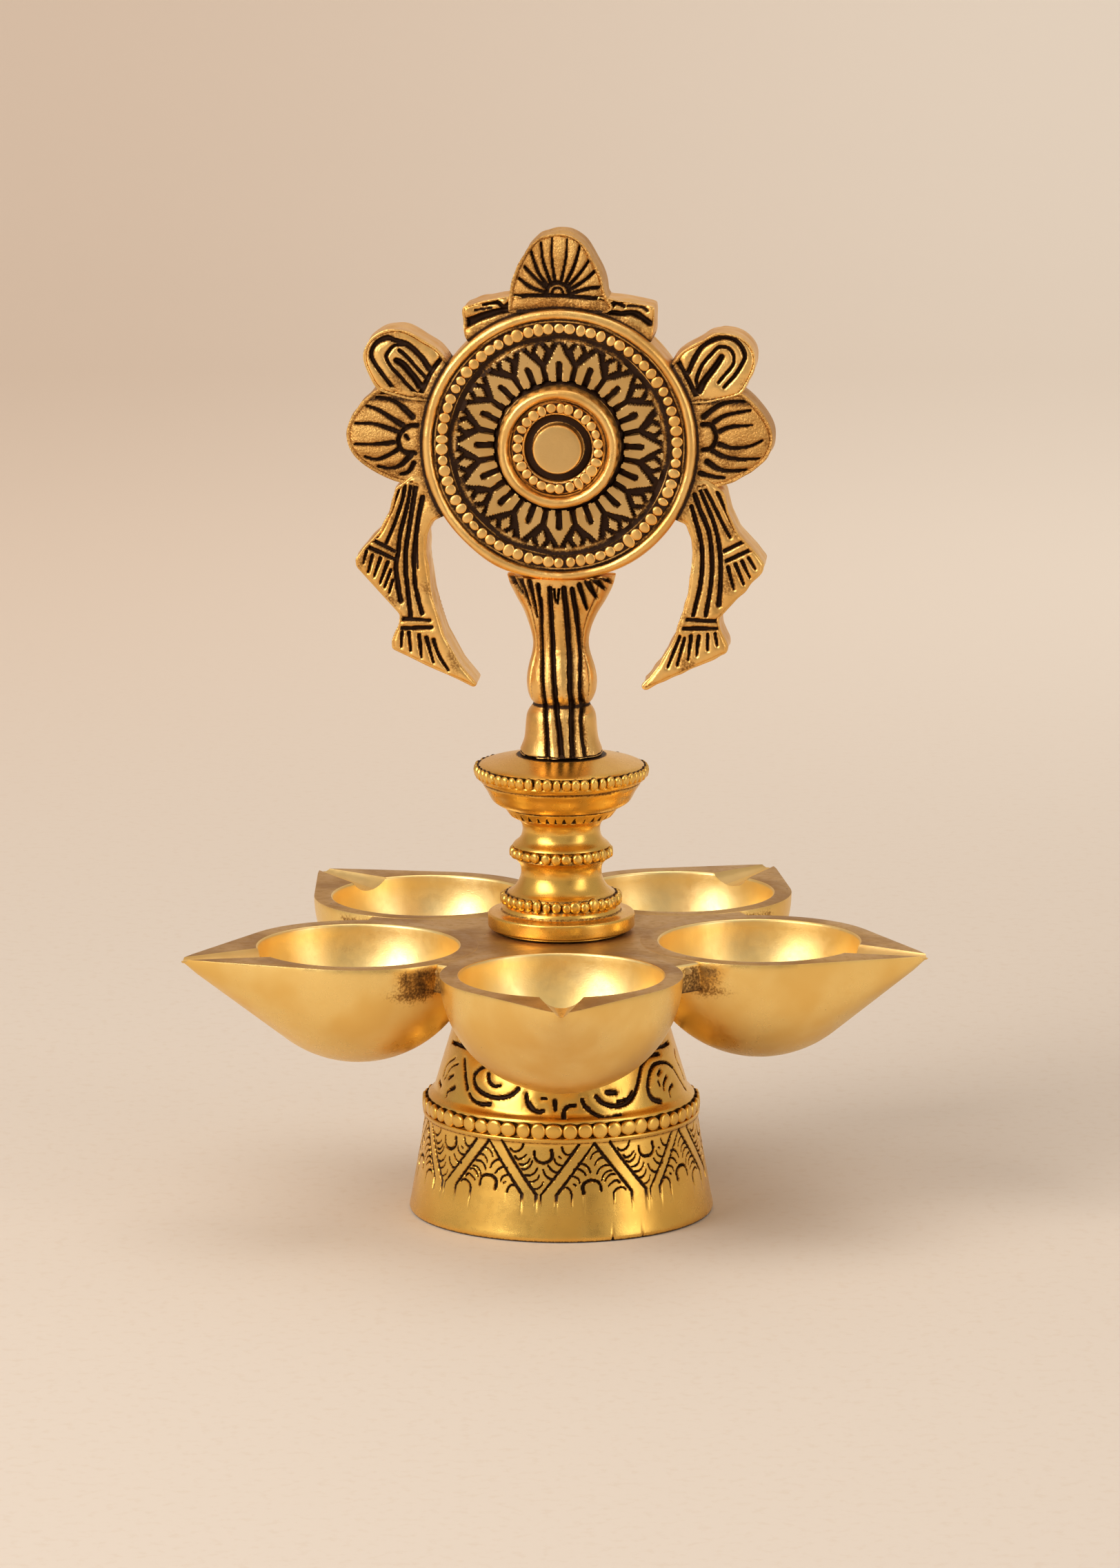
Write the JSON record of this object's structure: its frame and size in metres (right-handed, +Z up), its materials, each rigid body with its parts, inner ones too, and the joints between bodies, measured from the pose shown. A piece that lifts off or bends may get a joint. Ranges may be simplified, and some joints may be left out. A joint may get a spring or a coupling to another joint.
{
  "type": "five-wick oil lamp",
  "caption": "Brass oil lamp: hollow engraved pedestal, star tray of pointed wick cups, turned baluster and a two-sided wheel emblem with shells and ribbons.",
  "frame": {"origin": "on the surface that the lamp stands on, under the middle of its bounding box", "axes": "+Z up along the lamp's screw axis, -Y towards the front, +X to the right of someone facing its front"},
  "size_m": [0.1492, 0.1438, 0.2],
  "materials": {
    "polished_brass": "polished, turned and chased",
    "satin_brass": "satin, belt-ground top",
    "cast_brass": "polished casting with dark patina in the recesses",
    "threaded_brass": "plain machined thread"
  },
  "bodies": {
    "base": {"pedestal": "polished_brass"},
    "tray": {"cup_tray": "satin_brass"},
    "stud": {"tie_stud": "threaded_brass"},
    "stem": {"baluster": "polished_brass", "crown_stud": "threaded_brass", "emblem": "cast_brass"}
  },
  "joints": [
    {"name": "tray_turn", "type": "hinge", "parent": "base", "child": "tray", "pos_m": [0.00127, 0.00581, 0.0575], "axis": [0, 0, 1], "continuous": true},
    {"name": "stem_rise", "type": "slide", "parent": "base", "child": "stud", "axis": [0, 0, 1], "range_m": [0, 0.01]},
    {"name": "stem_turn", "type": "hinge", "parent": "stud", "child": "stem", "pos_m": [0.00127, 0.00581, 0.0575], "axis": [0, 0, 1], "range_deg": [0, 2880]}
  ],
  "couplings": [
    {"joint": "stem_rise", "follows": "stem_turn", "m_per_rad": 0.00019894}
  ]
}
